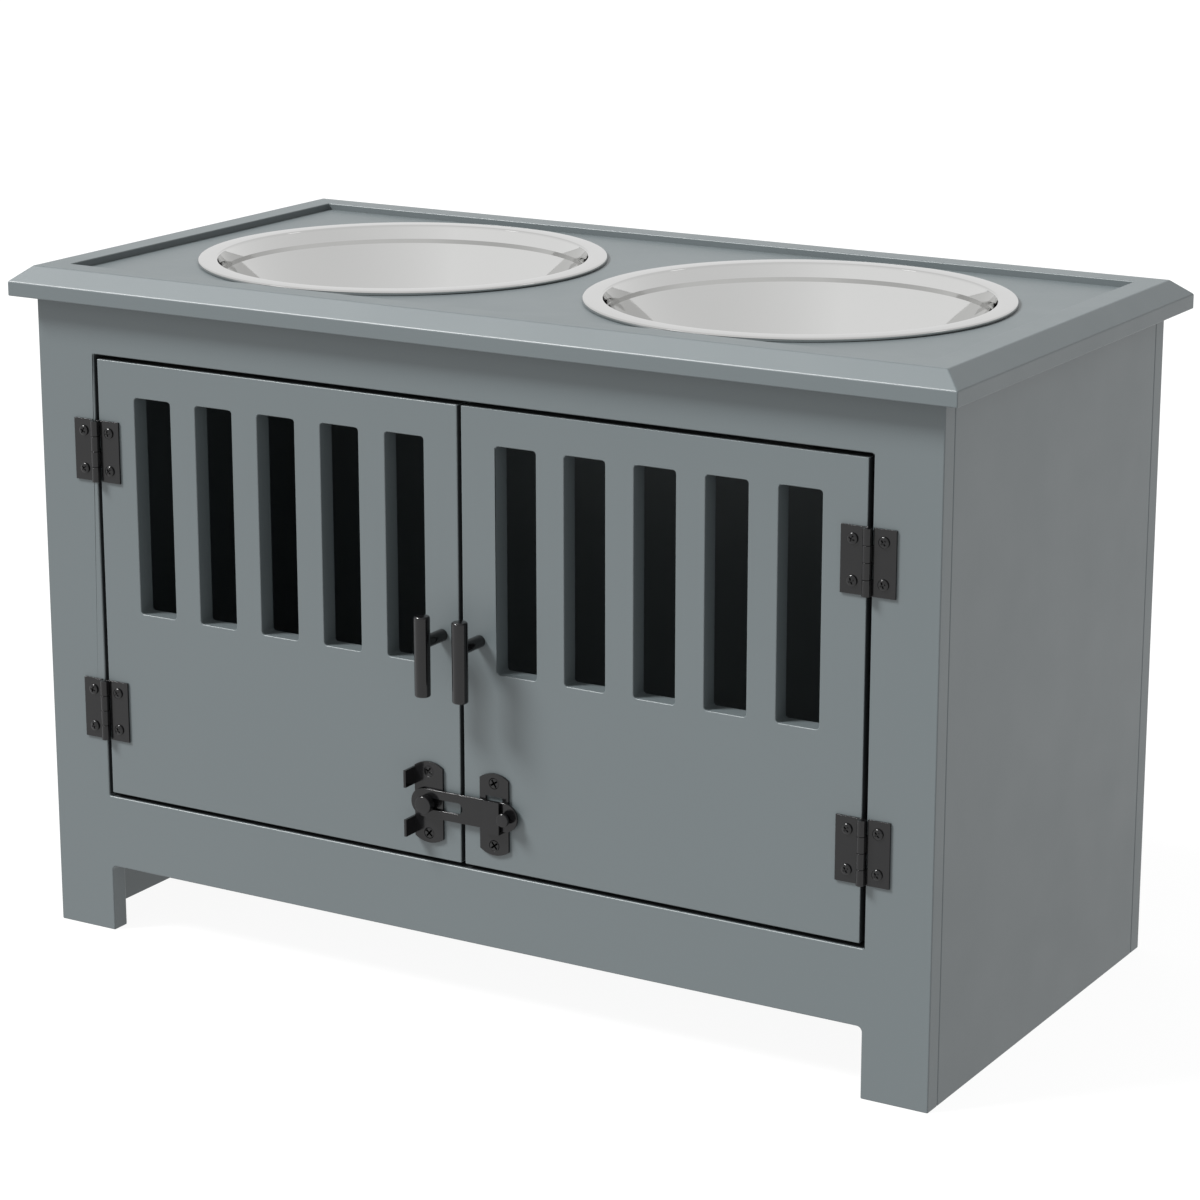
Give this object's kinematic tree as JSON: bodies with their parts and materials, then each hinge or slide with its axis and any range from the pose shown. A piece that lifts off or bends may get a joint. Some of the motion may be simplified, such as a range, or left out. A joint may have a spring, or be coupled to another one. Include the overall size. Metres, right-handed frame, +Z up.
{
  "type": "elevated dog feeder with storage",
  "caption": "Raised feeding station: a painted cabinet with slatted double doors and a flip latch under a moulded tray top that holds steel bowls.",
  "frame": {"origin": "on the floor, under the centre of the feeder's outer box", "axes": "+Z up, -Y towards the front with the doors, +X towards the right-hand side seen from the front"},
  "size_m": [0.614, 0.331, 0.4075],
  "materials": {
    "painted_board": "satin",
    "bare_wood": "matte",
    "black_hardware": "satin",
    "stainless_steel": "polished",
    "zinc_screws": "satin"
  },
  "bodies": {
    "cabinet": {"front_frame": "painted_board", "side_panel_left": "painted_board", "side_panel_right": "painted_board", "back_panel": "painted_board", "cabinet_floor": "painted_board", "floor_cleat_left": "bare_wood", "floor_cleat_right": "bare_wood", "top_cleat_left": "bare_wood", "top_cleat_right": "bare_wood", "floor_cleat_screws": "zinc_screws", "top_cleat_screws": "zinc_screws", "corner_dowels": "bare_wood", "door_stop_strip": "painted_board", "top_panel": "painted_board", "top_rail_front": "painted_board", "top_rail_rear": "painted_board", "top_rail_left": "painted_board", "top_rail_right": "painted_board", "hinge_frame_leaf_left_upper": "black_hardware", "hinge_frame_leaf_left_lower": "black_hardware", "hinge_frame_leaf_right_upper": "black_hardware", "hinge_frame_leaf_right_lower": "black_hardware", "hinge_pin_left_upper": "black_hardware", "hinge_pin_left_lower": "black_hardware", "hinge_pin_right_upper": "black_hardware", "hinge_pin_right_lower": "black_hardware", "hinge_frame_screws": "black_hardware"},
    "door_left": {"door_left": "painted_board", "hinge_door_leaf_left_upper": "black_hardware", "hinge_door_leaf_left_lower": "black_hardware", "hinge_door_screws_left": "black_hardware", "handle_bar_left": "black_hardware", "handle_post_left": "black_hardware", "handle_screw_left": "zinc_screws", "latch_base_plate": "black_hardware", "latch_pivot_pin": "black_hardware", "latch_base_screws": "black_hardware"},
    "door_right": {"door_right": "painted_board", "hinge_door_leaf_right_upper": "black_hardware", "hinge_door_leaf_right_lower": "black_hardware", "hinge_door_screws_right": "black_hardware", "handle_bar_right": "black_hardware", "handle_post_right": "black_hardware", "handle_screw_right": "zinc_screws", "latch_keeper_plate": "black_hardware", "latch_keeper_screws": "black_hardware"},
    "latch_bar": {"latch_bar": "black_hardware", "latch_bar_knob": "black_hardware"},
    "bowl_left": {"bowl_left": "stainless_steel"},
    "bowl_right": {"bowl_right": "stainless_steel"}
  },
  "joints": [
    {"name": "door_left_hinge", "type": "hinge", "parent": "cabinet", "child": "door_left", "pos_m": [-0.2534, -0.14315, 0.2224], "axis": [0, 0, -1], "range_deg": [0, 170]},
    {"name": "door_right_hinge", "type": "hinge", "parent": "cabinet", "child": "door_right", "pos_m": [0.2534, -0.14315, 0.2224], "axis": [0, 0, 1], "range_deg": [0, 170]},
    {"name": "latch_flip", "type": "hinge", "parent": "door_left", "child": "latch_bar", "pos_m": [-0.022, -0.143, 0.1224], "axis": [0, -1, 0], "range_deg": [0, 90]},
    {"name": "bowl_left_lift", "type": "slide", "parent": "cabinet", "child": "bowl_left", "axis": [0, 0, 1], "range_m": [0, 0.09]},
    {"name": "bowl_right_lift", "type": "slide", "parent": "cabinet", "child": "bowl_right", "axis": [0, 0, 1], "range_m": [0, 0.09]}
  ]
}
